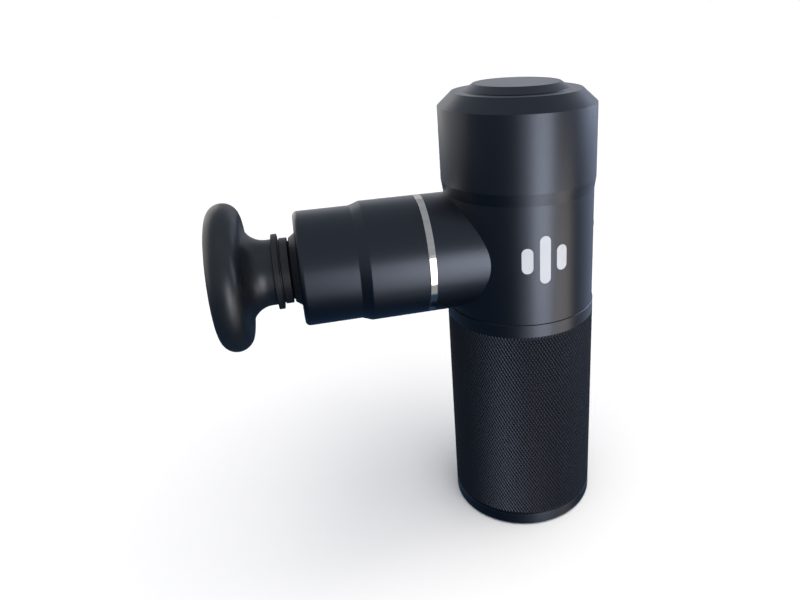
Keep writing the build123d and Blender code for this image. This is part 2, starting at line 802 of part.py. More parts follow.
with BuildPart() as tact_switch:
    with BuildSketch(rear_plane.offset(board_face)):
        with Locations((0, button_z)):
            Rectangle(switch_width, switch_width)
    extrude(amount=switch_height)
    with BuildSketch(rear_plane.offset(board_face + switch_height)):
        with Locations((0, button_z)):
            Circle(plunger_radius)
    extrude(amount=plunger_height)
save(tact_switch, "tact_switch")

with BuildPart() as power_button:
    with BuildSketch(rear_plane.offset(button_back)):
        with Locations((0, button_z)):
            Circle(button_radius + button_lip)
    extrude(amount=button_flange)
    with BuildSketch(rear_plane.offset(button_back + button_flange)):
        with Locations((0, button_z)):
            Circle(button_radius)
    extrude(amount=mid_radius + button_proud - button_back - button_flange)
    fillet(power_button.faces().sort_by(Axis.X)[-1].edges(), 0.4)
save(power_button, "power_button")

with BuildPart() as light_pipes:
    with BuildSketch(rear_plane.offset(board_face + slip_gap)):
        with Locations((0, light_z)):
            with GridLocations(1, light_pitch, 1, light_count):
                Circle(light_radius)
    extrude(amount=mid_radius - board_face - 2 * slip_gap)
save(light_pipes, "light_pipes")

with BuildPart() as usb_socket:
    with BuildSketch(rear_plane.offset(board_x - usb_wall)):
        with Locations((0, usb_z)):
            SlotOverall(usb_width, usb_height)
    extrude(amount=usb_mouth - board_x + usb_wall)
    with BuildSketch(rear_plane.offset(usb_mouth)):
        with Locations((0, usb_z)):
            SlotOverall(usb_width - 2 * usb_wall, usb_height - 2 * usb_wall)
            SlotOverall(usb_width - 2.0, tongue_thickness, mode=Mode.SUBTRACT)
    extrude(amount=-usb_depth, mode=Mode.SUBTRACT)
save(usb_socket, "usb_socket")

# === Battery ================================================================

with BuildPart() as battery_cushion:
    turn(box_points(0, holder_radius - 2 * slip_gap, cap_floor, cushion_top))
save(battery_cushion, "battery_cushion")

with BuildPart() as lower_cell_holder:
    with BuildSketch(Plane.XY.offset(cushion_top)):
        Circle(holder_radius)
    extrude(amount=cell_low + holder_depth - cushion_top)
    with BuildSketch(Plane.XY.offset(cell_low - strap_thickness)):
        with PolarLocations(cell_circle, 3, start_angle=90):
            Circle(cell_radius + fit_gap)
    extrude(amount=strap_thickness + holder_depth, mode=Mode.SUBTRACT)
save(lower_cell_holder, "lower_cell_holder")

with BuildPart() as upper_cell_holder:
    with BuildSketch(Plane.XY.offset(cell_high - holder_depth)):
        Circle(holder_radius)
    extrude(amount=pack_board_z - cell_high + holder_depth)
    with BuildSketch(Plane.XY.offset(cell_high - holder_depth)):
        with PolarLocations(cell_circle, 3, start_angle=90):
            Circle(cell_radius + fit_gap)
    extrude(amount=strap_thickness + holder_depth, mode=Mode.SUBTRACT)
save(upper_cell_holder, "upper_cell_holder")

with BuildPart() as battery_cells:
    with BuildSketch(Plane.XY.offset(cell_low)):
        with PolarLocations(cell_circle, 3, start_angle=90):
            Circle(cell_radius)
    extrude(amount=cell_length)
    fillet(battery_cells.edges().filter_by(GeomType.CIRCLE), 0.8)
save(battery_cells, "battery_cells")

with BuildPart() as cell_straps:
    # One strap at each end of each cell.
    for low in (cell_low - strap_thickness, cell_high):
        with BuildSketch(Plane.XY.offset(low)):
            with PolarLocations(cell_circle, 3, start_angle=90):
                Circle(strap_radius)
        extrude(amount=strap_thickness)
save(cell_straps, "cell_straps")

with BuildPart() as battery_board:
    with BuildSketch(Plane.XY.offset(pack_board_z)):
        Circle(holder_radius - soft_gap)
    extrude(amount=pack_board_thickness)
save(battery_board, "battery_board")

with BuildPart() as battery_leads:
    pack_top = pack_board_z + pack_board_thickness
    with BuildSketch(Plane.XY.offset(pack_top)):
        with Locations((board_x - lead_radius, -7), (board_x - lead_radius, 7)):
            Circle(lead_radius)
    extrude(amount=board_low + battery_lead_lap - pack_top)
save(battery_leads, "battery_leads")

# === Massage head ===========================================================

with BuildPart() as head_plug:
    groove = head_start - o_ring_setback
    groove_half = o_ring_section + slip_gap
    groove_bottom = plug_radius - 2 * o_ring_section
    turn_arm([
        (plug_end, 0), (plug_end, plug_radius - plug_lead_in),
        (plug_end + plug_lead_in, plug_radius),
        (groove - groove_half, plug_radius), (groove - groove_half, groove_bottom),
        (groove + groove_half, groove_bottom), (groove + groove_half, plug_radius),
        (head_start, plug_radius),
        (head_start, collar_radius - small_edge), (head_start + small_edge, collar_radius),
        (head_start + collar_length, collar_radius),
        (head_start + collar_length, neck_groove_radius), (rib_start, neck_groove_radius),
        (rib_start, rib_radius - small_edge), (rib_start + small_edge, rib_radius),
        (rib_end - small_edge, rib_radius), (rib_end, rib_radius - small_edge),
        (rib_end, core_radius), (core_end, core_radius), (core_end, 0),
    ])
save(head_plug, "head_plug")

with BuildPart() as head_o_ring:
    with BuildSketch(arm_side):
        with Locations((groove, plug_radius - o_ring_section)):
            Circle(o_ring_section)
    revolve(axis=arm_axis)
save(head_o_ring, "head_o_ring")

with BuildPart() as head_body:
    with BuildSketch(arm_side):
        with BuildLine():
            Line((rib_end, core_radius), (rib_end, waist_radius))
            Line((rib_end, waist_radius), (waist_end, waist_radius))
            RadiusArc((waist_end, waist_radius), (rim_back, waist_top), -waist_fillet)
            Line((rim_back, waist_top), (rim_back, rim_circle))
            ThreePointArc((rim_back, rim_circle), (rim_distance, rim_circle + rim_radius),
                          (rim_front, rim_circle))
            Spline((rim_front, rim_circle), (face_front, 0),
                   tangents=((0.05, -1), (0, -1)))
            Line((face_front, 0), (core_end, 0))
            Line((core_end, 0), (core_end, core_radius))
            Line((core_end, core_radius), (rib_end, core_radius))
        make_face()
    revolve(axis=arm_axis)
save(head_body, "head_body")

print("stroke", 2 * crank_throw, "rod swing", round(rod_swing, 2))
print("button z", round(button_z, 2), "wrist pin", -wrist_distance, "arm z", arm_z)
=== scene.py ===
"""Looks for the massage gun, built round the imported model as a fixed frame.

Everything is in metres. The handle stands on the floor at the origin with +Z up,
the arm points along -X, and the controls face +X.
"""
from math import cos, pi, radians, sin

import bmesh
import bpy
from mathutils import Matrix, Vector


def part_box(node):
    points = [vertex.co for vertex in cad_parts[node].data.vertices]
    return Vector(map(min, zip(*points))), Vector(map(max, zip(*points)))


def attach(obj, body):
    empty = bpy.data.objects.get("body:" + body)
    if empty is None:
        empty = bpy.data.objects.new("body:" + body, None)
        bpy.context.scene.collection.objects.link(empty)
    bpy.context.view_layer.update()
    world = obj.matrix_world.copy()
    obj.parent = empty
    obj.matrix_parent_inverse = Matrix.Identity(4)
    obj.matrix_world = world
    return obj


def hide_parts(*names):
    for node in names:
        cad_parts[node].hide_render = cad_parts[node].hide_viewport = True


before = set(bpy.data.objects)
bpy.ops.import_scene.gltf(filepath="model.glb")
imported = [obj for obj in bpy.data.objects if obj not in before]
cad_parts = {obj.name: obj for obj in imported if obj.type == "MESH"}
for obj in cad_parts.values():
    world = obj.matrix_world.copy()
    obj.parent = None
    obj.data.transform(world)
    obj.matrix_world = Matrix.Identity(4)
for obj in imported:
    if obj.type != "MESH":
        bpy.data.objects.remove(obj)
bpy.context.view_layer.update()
bpy.ops.object.select_all(action="DESELECT")

MM = 0.001

# --- Places read from the frame ---------------------------------------------
sleeve_low, sleeve_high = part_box("handle_sleeve")
cap_low, cap_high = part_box("end_cap")
housing_low, housing_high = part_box("upper_housing")
crown_low, crown_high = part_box("top_cap")
ring_low, ring_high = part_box("trim_ring")
neck_low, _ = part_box("arm_neck")
barrel_low, barrel_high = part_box("barrel")
seal_low, seal_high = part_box("nose_seal")
plug_low, plug_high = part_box("head_plug")
head_low, head_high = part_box("head_body")
button_low, button_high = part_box("power_button")
_, foot_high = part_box("foot_pad")
lights_low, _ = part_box("light_pipes")
usb_low, usb_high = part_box("usb_socket")

handle_radius = sleeve_high.x
upper_radius = housing_high.x
arm_radius = ring_high.y
arm_z = (ring_low.z + ring_high.z) / 2
key_z = (button_low.z + button_high.z) / 2

# --- Sizes of the casings' own detail ---------------------------------------
mid_radius = 24.05 * MM
bore_radius = 21.9 * MM
step_low = arm_z + 18.5 * MM
step_high = step_low + 3.7 * MM
shoulder_low = housing_high.z - 4.1 * MM
annulus_radius = 20.2 * MM
crown_base = 16.3 * MM
crown_top = 13.45 * MM
neck_bore = 16.6 * MM
nose_radius = 17.5 * MM
light_count = 4
light_radius = 0.6 * MM
light_pitch = 1.9 * MM
seam = 0.10 * MM              # broken edge along the joints between casings

# --- Knurl: a diamond pattern with 1.06 mm from cut to cut ------------------
knurl_starts = 144
knurl_rows = 38
knurl_depth = 0.26 * MM
knurl_run = 0.34 * MM         # how far each side slopes in
knurl_stretch = 3.0           # how much longer each flat is along the deeper cut
knurl_low = sleeve_low.z + 0.35 * MM
knurl_high = sleeve_high.z - 4.2 * MM


# ============================================================================
# Modelling helpers
# ============================================================================
HANDLE_AXIS = Vector((0, 0, 1))
ARM_AXIS = Vector((-1, 0, 0))
ARM_ORIGIN = Vector((0, 0, arm_z))
REAR_AXIS = Vector((1, 0, 0))


def arc(centre, radius, start, end, steps):
    """Points (distance, radius) on an arc, angles in degrees from the distance axis."""
    points = []
    for i in range(steps + 1):
        angle = radians(start + (end - start) * i / steps)
        points.append((centre[0] + radius * cos(angle), centre[1] + radius * sin(angle)))
    return points


def start_edit(select_type="VERT"):
    bpy.ops.object.mode_set(mode="EDIT")
    bpy.ops.mesh.select_mode(type=select_type)


def end_edit():
    bpy.ops.object.mode_set(mode="OBJECT")


def pick(obj):
    """Select one object alone and make it active."""
    bpy.ops.object.select_all(action="DESELECT")
    obj.select_set(True)
    bpy.context.view_layer.objects.active = obj


def settle(obj):
    """Put the object's place, turn and scale into its mesh."""
    pick(obj)
    bpy.ops.object.transform_apply(location=True, rotation=True, scale=True)


def apply_modifiers(obj):
    """Put the result of each modifier into the mesh."""
    pick(obj)
    for modifier in list(obj.modifiers):
        bpy.ops.object.modifier_apply(modifier=modifier.name)


def soften(obj, width, segments=3, angle=22):
    """Round every edge sharper than the angle."""
    bevel = obj.modifiers.new("broken edges", "BEVEL")
    bevel.width = width
    bevel.segments = segments
    bevel.limit_method = "ANGLE"
    bevel.angle_limit = radians(angle)
    apply_modifiers(obj)


def smooth(obj, angle=30):
    """Shade smooth, with the wide faces kept flat and the curve left to the edges."""
    pick(obj)
    bpy.ops.object.shade_smooth_by_angle(angle=radians(angle))
    weighted = obj.modifiers.new("flat faces", "WEIGHTED_NORMAL")
    weighted.keep_sharp = True
    apply_modifiers(obj)


def pull_rings(outline, axis, origin):
    """Extrude the selected ring through the outline's (distance, radius) steps."""
    flat = Vector((1 - abs(axis.x), 1 - abs(axis.y), 1 - abs(axis.z)))
    along = Vector((abs(axis.x), abs(axis.y), abs(axis.z)))
    for (d0, r0), (d1, r1) in zip(outline, outline[1:]):
        bpy.ops.mesh.extrude_edges_move(
            TRANSFORM_OT_translate={"value": axis * (d1 - d0)})
        k = r1 / r0
        bpy.ops.transform.resize(value=along + flat * k, center_override=origin + axis * d1)


def turned(name, outline, axis=HANDLE_AXIS, origin=Vector((0, 0, 0)), closed=True,
           segments=192):
    """A piece turned from an outline of (distance, radius) steps along an axis."""
    bpy.ops.object.select_all(action="DESELECT")
    turn = axis.to_track_quat("Z", "Y").to_euler()
    bpy.ops.mesh.primitive_circle_add(
        vertices=segments, radius=outline[0][1], fill_type="NOTHING",
        location=origin + axis * outline[0][0], rotation=turn)
    obj = bpy.context.object
    obj.name = name
    obj.data.name = name
    settle(obj)
    start_edit()
    bpy.ops.mesh.select_all(action="SELECT")
    pull_rings(outline + outline[:1] if closed else outline, axis, origin)
    bpy.ops.mesh.select_all(action="SELECT")
    bpy.ops.mesh.remove_doubles(threshold=0.002 * MM)
    if not closed:
        bpy.ops.mesh.fill_holes(sides=0)
    bpy.ops.mesh.select_all(action="SELECT")
    bpy.ops.mesh.normals_make_consistent(inside=False)
    end_edit()
    return obj


def cut(obj, tool, operation="DIFFERENCE"):
    """Cut one piece with another, which is then thrown away."""
    boolean = obj.modifiers.new("cut", "BOOLEAN")
    boolean.operation = operation
    boolean.solver = "EXACT"
    boolean.object = tool
    apply_modifiers(obj)
    bpy.data.objects.remove(tool)


def rod_tool(radius, start, end, segments=128):
    """A plain round cutter from one point to another."""
    bpy.ops.object.select_all(action="DESELECT")
    axis = (end - start).normalized()
    bpy.ops.mesh.primitive_cylinder_add(
        vertices=segments, radius=radius, depth=(end - start).length,
        location=(start + end) / 2, rotation=axis.to_track_quat("Z", "Y").to_euler())
    obj = bpy.context.object
    settle(obj)
    return obj


def block(centre, size):
    """A plain box with its size along X, Y and Z."""
    bpy.ops.object.select_all(action="DESELECT")
    bpy.ops.mesh.primitive_cube_add(size=1, location=centre, scale=size)
    obj = bpy.context.object
    settle(obj)
    return obj


def round_ends(obj, axis, width, segments):
    """Round a box's four edges along an axis (0 for X, 1 for Y) into half circles."""
    start_edit("EDGE")
    bpy.ops.mesh.select_all(action="DESELECT")
    mesh = bmesh.from_edit_mesh(obj.data)
    for edge in mesh.edges:
        a, b = edge.verts
        edge.select = abs(a.co[axis] - b.co[axis]) > 1 * MM
    bmesh.update_edit_mesh(obj.data)
    # A hair under half the width, so that the two rounds don't meet in doubled points.
    bpy.ops.mesh.bevel(offset=width / 2 * 0.999, segments=segments, affect="EDGES")
    end_edit()


def join(obj, other):
    """Join a second piece to the first, which keeps its name."""
    pick(obj)
    other.select_set(True)
    bpy.ops.object.join()


def finish_piece(obj, body, slot, material, *nodes):
    """Give a piece its material and body, and hide the CAD nodes it stands for. The slot is not
    used.
    """
    obj.data.materials.clear()
    obj.data.materials.append(material)
    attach(obj, body)
    if nodes:
        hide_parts(*nodes)
    return obj


# ============================================================================
# Materials
# ============================================================================
def srgb(code):
    """An sRGB hex colour as linear red, green, blue and a full alpha."""
    values = [int(code[i:i + 2], 16) / 255 for i in (1, 3, 5)]
    linear = [v / 12.92 if v <= 0.04045 else ((v + 0.055) / 1.055) ** 2.4 for v in values]
    return (*linear, 1.0)


def add_node(tree, kind, values=None, links=None, **settings):
    """Add a node with its settings, its input values and its links."""
    node = tree.nodes.new(kind)
    for key, value in settings.items():
        setattr(node, key, value)
    for key, value in (values or {}).items():
        node.inputs[key].default_value = value
    for key, socket in (links or {}).items():
        tree.links.new(socket, node.inputs[key])
    return node


def new_material(name):
    """A material with nothing but its output, and the Object coordinates it reads."""
    material = bpy.data.materials.new(name)
    material.use_nodes = True
    tree = material.node_tree
    tree.nodes.clear()
    return material, tree, add_node(tree, "ShaderNodeTexCoord").outputs["Object"]


def anodised(name, dark, light, rough, coat, coat_rough, grit, height):
    """Blasted aluminium under a dyed, sealed oxide layer.

    The metal gives the deep blue-black, and the clear oxide over it gives the wide
    grey sheen. The blasting is fine grit, and handling leaves slow cloudy patches.
    """
    material, tree, place = new_material(name)
    cloud = add_node(tree, "ShaderNodeTexNoise", {"Scale": 1 / (18 * MM), "Detail": 4.0},
                     {"Vector": place})
    colour = add_node(tree, "ShaderNodeMix", {6: srgb(dark), 7: srgb(light)},
                      {0: cloud.outputs["Fac"]}, data_type="RGBA")
    sheen = add_node(tree, "ShaderNodeMapRange",
                     {"From Min": 0.3, "From Max": 0.7, "To Min": rough[0], "To Max": rough[1]},
                     {"Value": cloud.outputs["Fac"]})
    blast = add_node(tree, "ShaderNodeTexNoise", {"Scale": 1 / grit, "Detail": 2.0},
                     {"Vector": place})
    bump = add_node(tree, "ShaderNodeBump", {"Distance": height},
                    {"Height": blast.outputs["Fac"]})
    shader = add_node(tree, "ShaderNodeBsdfPrincipled",
                      {"Metallic": 1.0, "Coat Weight": coat, "Coat Roughness": coat_rough,
                       "Coat IOR": 1.6},
                      {"Base Color": colour.outputs[2], "Roughness": sheen.outputs["Result"],
                       "Normal": bump.outputs["Normal"], "Coat Normal": bump.outputs["Normal"]})
    add_node(tree, "ShaderNodeOutputMaterial", links={"Surface": shader.outputs["BSDF"]})
    return material


def moulded(name, dark, light, rough, grit, height, specular=0.5, patch=9 * MM):
    """Moulded rubber, plastic or foam.

    The skin of the mould gives fine grain, and flow and handling give slow patches that
    are a little glossier or duller.
    """
    material, tree, place = new_material(name)
    cloud = add_node(tree, "ShaderNodeTexNoise", {"Scale": 1 / patch, "Detail": 3.0},
                     {"Vector": place})
    colour = add_node(tree, "ShaderNodeMix", {6: srgb(dark), 7: srgb(light)},
                      {0: cloud.outputs["Fac"]}, data_type="RGBA")
    sheen = add_node(tree, "ShaderNodeMapRange",
                     {"From Min": 0.3, "From Max": 0.7, "To Min": rough[0], "To Max": rough[1]},
                     {"Value": cloud.outputs["Fac"]})
    skin = add_node(tree, "ShaderNodeTexNoise", {"Scale": 1 / grit, "Detail": 3.0},
                    {"Vector": place})
    bump = add_node(tree, "ShaderNodeBump", {"Distance": height},
                    {"Height": skin.outputs["Fac"]})
    shader = add_node(tree, "ShaderNodeBsdfPrincipled", {"Specular IOR Level": specular},
                      {"Base Color": colour.outputs[2], "Roughness": sheen.outputs["Result"],
                       "Normal": bump.outputs["Normal"]})
    add_node(tree, "ShaderNodeOutputMaterial", links={"Surface": shader.outputs["BSDF"]})
    return material


def turned_metal(name, dark, light, rough, pitch, height, grain=(0.02, 0.02, 1.0)):
    """Bare metal with the marks of the tool.

    The marks are long where the grain is small and close where it is one. They streak
    the reflections, and the metal between them is a shade darker or lighter.
    """
    material, tree, place = new_material(name)
    rings = add_node(tree, "ShaderNodeMapping", {"Scale": grain}, {"Vector": place})
    streak = add_node(tree, "ShaderNodeTexNoise", {"Scale": 1 / pitch, "Detail": 2.0},
                      {"Vector": rings.outputs["Vector"]})
    colour = add_node(tree, "ShaderNodeMix", {6: srgb(dark), 7: srgb(light)},
                      {0: streak.outputs["Fac"]}, data_type="RGBA")
    sheen = add_node(tree, "ShaderNodeMapRange",
                     {"From Min": 0.3, "From Max": 0.7, "To Min": rough[0], "To Max": rough[1]},
                     {"Value": streak.outputs["Fac"]})
    bump = add_node(tree, "ShaderNodeBump", {"Distance": height},
                    {"Height": streak.outputs["Fac"]})
    shader = add_node(tree, "ShaderNodeBsdfPrincipled", {"Metallic": 1.0},
                      {"Base Color": colour.outputs[2], "Roughness": sheen.outputs["Result"],
                       "Normal": bump.outputs["Normal"]})
    add_node(tree, "ShaderNodeOutputMaterial", links={"Surface": shader.outputs["BSDF"]})
    return material


# Blue-black satin with a grey sheen: the casings' main look.
casing_metal = anodised("anodised aluminium", "#19212B", "#1E2630", (0.36, 0.42), 1.0, 0.34,
                        0.30 * MM, 0.006 * MM)
# The same dye on a coarser blast, which sparkles where the light is brightest.
neck_metal = anodised("coarse-blasted anodised aluminium", "#1A212B", "#202832", (0.34, 0.42),
                      1.0, 0.33, 0.40 * MM, 0.045 * MM)
# The knurl's cut facets have a thinner oxide, which leaves them duller. Their colour is also
# painted darker than the casings': painted shade for the shadow in the knurl's grooves.
knurl_metal_painted_shade = anodised("cut anodised aluminium with painted groove shade", "#131B26", "#18202B", (0.50, 0.58), 0.6,
                       0.52, 0.25 * MM, 0.002 * MM)
# Bright warm silver. It was polished along the arm, so light and dark run across the ring.
bright_metal = turned_metal("polished nickel silver", "#D8D0C2", "#FFF8EC", (0.08, 0.16),
                            2.2 * MM, 0.004 * MM, grain=(0.05, 1.0, 1.0))
# Near-black with a soft, slightly greasy sheen.
head_rubber = moulded("moulded nitrile rubber", "#0F1418", "#151A1E", (0.30, 0.44),
                      0.30 * MM, 0.003 * MM, specular=0.6)
# A little harder and more even than the rubber beside it.
head_plastic = moulded("moulded glass-filled nylon", "#111316", "#16181B", (0.36, 0.48),
                       0.22 * MM, 0.004 * MM)
# Matt, near-black lip.
seal_rubber = moulded("moulded silicone seal", "#111318", "#171A20", (0.40, 0.52),
                      0.30 * MM, 0.004 * MM)
# Matt, with a grippy coarse skin.
foot_rubber = moulded("moulded rubber foot", "#121213", "#1A1A1B", (0.6, 0.8),
                      0.35 * MM, 0.02 * MM)
# Matt key that shows its edge more than its face.
key_rubber = moulded("soft-touch silicone", "#16171A", "#1D1E22", (0.45, 0.58),
                     0.25 * MM, 0.004 * MM)
# Flat light grey, a shade thinner where the screen lifted.
mark_ink = moulded("satin screen-printing ink", "#BFC1C4", "#C9CBCD", (0.45, 0.55),
                   0.22 * MM, 0.004 * MM, specular=0.3, patch=3 * MM)


# ============================================================================
# Handle
# ============================================================================
def knurl_skin():
    """The knurled surface: a lattice of diamonds, each raised to a small flat."""
    base = handle_radius - knurl_depth
    bpy.ops.object.select_all(action="DESELECT")
    bpy.ops.mesh.primitive_cylinder_add(
        vertices=knurl_starts, radius=base, depth=knurl_high - knurl_low,
        end_fill_type="NOTHING", location=(0, 0, (knurl_low + knurl_high) / 2))
    obj = bpy.context.object
    settle(obj)
    start_edit("EDGE")
    mesh = bmesh.from_edit_mesh(obj.data)
    for edge in mesh.edges:
        a, b = edge.verts
        edge.select = abs(a.co.z - b.co.z) > 1 * MM
    bmesh.update_edit_mesh(obj.data)
    bpy.ops.mesh.subdivide(number_cuts=knurl_rows - 1)
    bpy.ops.mesh.select_all(action="SELECT")
    bpy.ops.mesh.poke(offset=0.0)
    # The square lattice goes, so the triangles either side of it join into diamonds.
    bpy.ops.mesh.select_all(action="DESELECT")
    mesh = bmesh.from_edit_mesh(obj.data)
    for edge in mesh.edges:
        a, b = edge.verts
        level = abs(a.co.z - b.co.z) < 0.01 * MM
        upright = (a.co.xy - b.co.xy).length < 0.01 * MM
        edge.select = (level or upright) and not edge.is_boundary
    bmesh.update_edit_mesh(obj.data)
    bpy.ops.mesh.dissolve_edges(use_verts=False, use_face_split=False)
    bpy.ops.mesh.select_mode(type="FACE")
    bpy.ops.mesh.select_all(action="DESELECT")
    mesh = bmesh.from_edit_mesh(obj.data)
    for face in mesh.faces:
        face.select = len(face.verts) == 4
    bmesh.update_edit_mesh(obj.data)
    bpy.ops.mesh.inset(thickness=knurl_run, depth=knurl_depth, use_individual=True)
    # The inset leaves the small flats selected. They are drawn out along one cut.
    mesh = bmesh.from_edit_mesh(obj.data)
    for face in mesh.faces:
        if face.select:
            stretch_flat(face)
    bmesh.update_edit_mesh(obj.data)
    end_edit()
    return obj


def stretch_flat(face):
    """Draw a flat out along the cut that falls to the right, which was rolled deeper.

    Its neighbours then nearly meet, and that cut reads as long fine threads.
    """
    middle = face.calc_center_median()
    around = Vector((-middle.y, middle.x, 0)).normalized()
    across = pi * handle_radius / knurl_starts
    down = (knurl_high - knurl_low) / knurl_rows / 2
    length = (across ** 2 + down ** 2) ** 0.5
    cut_line = (around * across - HANDLE_AXIS * down) / length
    for vert in face.verts:
        offset = vert.co - middle
        along = (offset.dot(around) / across - offset.z / down) / 2 * length
        vert.co += cut_line * along * (knurl_stretch - 1)


def knurled_sleeve():
    """The knurl with the smooth band above it and the tube that both are cut from."""
    obj = knurl_skin()
    base = handle_radius - knurl_depth
    bore = 22.3 * MM
    land = handle_radius - 0.1 * MM       # plain lands below and above the crests
    start_edit()
    bpy.ops.mesh.select_all(action="DESELECT")
    mesh = bmesh.from_edit_mesh(obj.data)
    for vert in mesh.verts:
        vert.select = vert.co.z > knurl_high - 0.01 * MM
    mesh.select_flush(True)
    bmesh.update_edit_mesh(obj.data)
    pull_rings([(knurl_high, base), (knurl_high, land),
                (knurl_high + 0.1 * MM, handle_radius), (sleeve_high.z - seam, handle_radius),
                (sleeve_high.z, handle_radius - seam), (sleeve_high.z, bore),
                (sleeve_low.z, bore), (sleeve_low.z, land - seam),
                (sleeve_low.z + seam, land), (knurl_low, land), (knurl_low, base)],
               HANDLE_AXIS, Vector((0, 0, 0)))
    bpy.ops.mesh.select_all(action="SELECT")
    bpy.ops.mesh.remove_doubles(threshold=0.003 * MM)
    bpy.ops.mesh.select_all(action="SELECT")
    bpy.ops.mesh.normals_make_consistent(inside=False)
    end_edit()
    obj.name = "knurled_sleeve"
    smooth(obj, 12)
    # The knurled faces take the darker material, whose colour is painted shade for the knurl's
    # grooves.
    finish_piece(obj, "casing", "anodised_body", knurl_metal_painted_shade, "handle_sleeve")
    # The smooth band, ends and bore have the casings' finish.
    obj.data.materials.append(casing_metal)
    for face in obj.data.polygons:
        if not knurl_low < face.center.z < knurl_high or face.center.xy.length < base - 1 * MM:
            face.material_index = 1
    return obj


knurled_sleeve()


def end_cap():
    """The screwed-in cap: smooth end ring, floor and spigot."""
    pole = 2 * MM
    foot = foot_high.x + 0.1 * MM
    recess, inside = cap_low.z + 1.0 * MM, cap_low.z + 2.5 * MM
    edge = 0.5 * MM
    spigot, spigot_bore = 22.25 * MM, 20.9 * MM
    obj = turned("end_cap_turned", [
        (recess, pole), (recess, foot), (cap_low.z, foot), (cap_low.z, handle_radius - edge),
        (cap_low.z + edge, handle_radius), (sleeve_low.z, handle_radius),
        (sleeve_low.z, spigot), (cap_high.z, spigot), (cap_high.z, spigot_bore),
        (inside, spigot_bore), (inside, pole)], closed=False)
    soften(obj, seam)
    smooth(obj)
    return finish_piece(obj, "casing", "anodised_body", casing_metal, "end_cap")


end_cap()


def foot_pad():
    """Rubber foot with three moulded rings."""
    pole = 1.5 * MM
    radius = foot_high.x
    edge = 0.4 * MM
    groove_depth = 0.35 * MM
    half_floor, half_mouth = 0.4 * MM, 0.6 * MM
    outline = [(foot_high.z, pole), (foot_high.z, radius), (edge, radius)]
    outline += arc((edge, radius - edge), edge, 90, 180, 5)
    for groove in (16.5 * MM, 12.5 * MM, 8.5 * MM):
        outline += [(0, groove + half_mouth), (groove_depth, groove + half_floor),
                    (groove_depth, groove - half_floor), (0, groove - half_mouth)]
    outline += [(0, pole)]
    obj = turned("rubber_foot", outline, closed=False)
    smooth(obj, 25)
    return finish_piece(obj, "casing", "seal_rubber", foot_rubber, "foot_pad")


foot_pad()


# ============================================================================
# Upper housing, crown and arm
# ============================================================================
def housing():
    """Mid section, conical step, upper section, chamfer and top annulus, with its openings."""
    top = housing_high.z
    under_top = top - 2.2 * MM
    key_hole, light_hole = 5.15 * MM, 0.62 * MM
    obj = turned("housing_shell", [
        (housing_low.z, bore_radius), (housing_low.z, mid_radius), (step_low, mid_radius),
        (step_high, upper_radius), (shoulder_low, upper_radius), (top, annulus_radius),
        (top, crown_top), (under_top, crown_top), (under_top, bore_radius)],
        segments=256)
    cut(obj, rod_tool(arm_radius, ARM_ORIGIN, ARM_ORIGIN + ARM_AXIS * 40 * MM, 192))
    outside = Vector((40 * MM, 0, 0))
    middle = Vector((15 * MM, 0, 0))
    cut(obj, rod_tool(key_hole, middle + Vector((0, 0, key_z)),
                      outside + Vector((0, 0, key_z)), 96))
    for i in range(light_count):
        z = lights_low.z + light_radius + i * light_pitch
        cut(obj, rod_tool(light_hole, middle + Vector((0, 0, z)),
                          outside + Vector((0, 0, z)), 32))
    cut(obj, slot_tool())
    soften(obj, seam, angle=7)
    smooth(obj, 25)
    return finish_piece(obj, "casing", "anodised_body", casing_metal, "upper_housing")


def slot_tool():
    """Cutter for the charging socket's rounded slot."""
    clearance = 0.4 * MM
    width = usb_high.y - usb_low.y + clearance
    height = usb_high.z - usb_low.z + clearance
    z = (usb_low.z + usb_high.z) / 2
    obj = block((30 * MM, 0, z), (30 * MM, width, height))
    round_ends(obj, 0, height, 12)
    return obj


housing()


def crown():
    """Raised disc with a wide bevel."""
    pole = 2 * MM
    base = housing_high.z
    rim = base + 0.2 * MM
    plug = crown_top - 0.05 * MM          # the part that sits in the housing's opening
    obj = turned("bevelled_crown", [
        (crown_low.z, pole), (crown_low.z, plug), (base, plug), (base, crown_base),
        (rim, crown_base), (crown_high.z, crown_top), (crown_high.z, pole)], closed=False)
    soften(obj, 0.12 * MM)
    smooth(obj, 25)
    return finish_piece(obj, "casing", "anodised_body", casing_metal, "top_cap")


crown()


def neck():
    """Short tube that meets the housing in a crisp saddle."""
    start, end = 10 * MM, -neck_low.x     # it starts inside the housing, where it is cut
    obj = turned("saddle_neck", [(start, neck_bore), (end, neck_bore), (end, arm_radius),
                                 (start, arm_radius)], ARM_AXIS, ARM_ORIGIN)
    cut(obj, rod_tool(bore_radius, Vector((0, 0, arm_z - 30 * MM)),
                      Vector((0, 0, arm_z + 30 * MM)), 256))
    soften(obj, 0.1 * MM, angle=60)
    smooth(obj, 25)
    return finish_piece(obj, "casing", "anodised_body", neck_metal, "arm_neck")


neck()


def bright_ring():
    """Polished ring with broken edges."""
    start, end = -ring_high.x, -ring_low.x
    obj = turned("bright_ring", [(start, neck_bore), (end, neck_bore), (end, arm_radius),
                                 (start, arm_radius)], ARM_AXIS, ARM_ORIGIN)
    soften(obj, 0.18 * MM)
    smooth(obj)
    return finish_piece(obj, "casing", "polished_ring", bright_metal, "trim_ring")


bright_ring()


